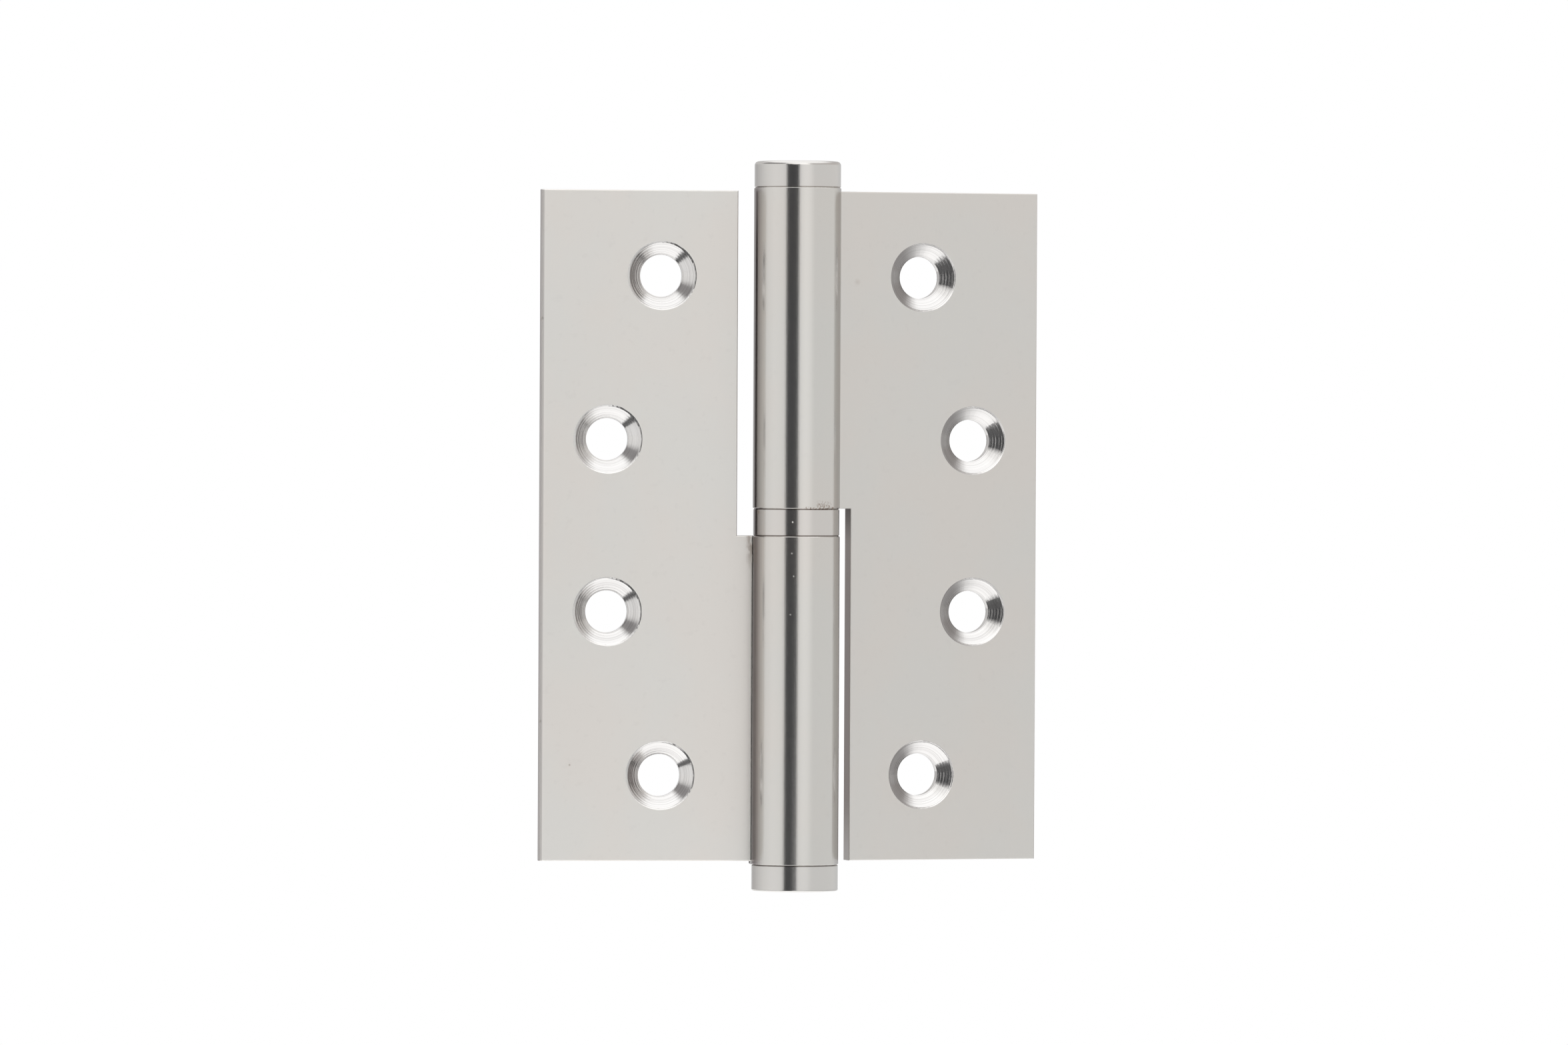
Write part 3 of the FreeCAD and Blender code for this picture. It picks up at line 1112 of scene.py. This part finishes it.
@dataclass(frozen=True)
class CatalogueCamera:
    """The photograph's camera: a long lens, almost level, a little to the left of square on."""

    distance: float = 1.5
    yaw: float = 6.2
    pitch: float = 0.53
    roll: float = -0.27
    aside: float = 1.82 * MM
    above: float = -0.539 * MM
    pixels_per_millimetre: float = 10.06
    picture_width: float = 2352.0
    sensor_width: float = 36.0

    def stand(self) -> bpy.types.Object:
        """Make the camera and give it to the scene.

        Returns:
            The camera.
        """
        turn = (
            Matrix.Rotation(-math.radians(self.roll), 3, "Y")
            @ Matrix.Rotation(math.radians(self.pitch), 3, "X")
            @ Matrix.Rotation(math.radians(self.yaw), 3, "Z")
        )
        right, ahead, up = turn.row
        data = bpy.data.cameras.new("catalogue_camera")
        data.sensor_width = self.sensor_width
        focal_pixels = self.pixels_per_millimetre * self.distance / MM
        data.lens = focal_pixels / self.picture_width * self.sensor_width
        camera = bpy.data.objects.new("catalogue_camera", data)
        place = -(turn.transposed() @ Vector((self.aside, self.distance, self.above)))
        axes = Matrix((right, up, -Vector(ahead))).transposed()
        camera.matrix_world = Matrix.Translation(place) @ axes.to_4x4()
        bpy.context.scene.collection.objects.link(camera)
        bpy.context.scene.camera = camera
        return camera


def main() -> None:
    """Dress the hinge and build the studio."""
    logging.basicConfig(level=logging.INFO, format="%(name)s: %(message)s")
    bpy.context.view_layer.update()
    satin = LeafFinish("satin_nickel", colour=(0.69, 0.676, 0.65), roughness=0.45)
    turned = TurnedFinish("turned_nickel", colour=(0.67, 0.655, 0.635), roughness=0.16)
    # The ring and the lower tip get painted shade beside the leaves and along their seams.
    ring = replace(turned, name="ring_nickel", shade=0.9, seams=(-1.45, 2.6))
    lower_tip = replace(turned, name="lower_tip_nickel", seams=(-50.46,))
    ground = TurnedFinish("ground_steel", colour=(0.6, 0.6, 0.6), roughness=0.15)
    for part in (
        *(Leaf(side, satin, LEAF_MARKS[side]) for side in LeafSide),
        Turned("bearing_ring", ring, RING_MARKS),
        Turned("top_cap", turned),
        Turned("bottom_cap", lower_tip),
        Turned("hinge_pin", ground),
    ):
        log.info("dressed %s", part.dress().name)

    bpy.context.scene.view_settings.view_transform = "Standard"
    LightTent().pitch()
    Floor().lay()
    CatalogueCamera().stand()
    log.info("studio ready")


if __name__ == "__main__":
    main()
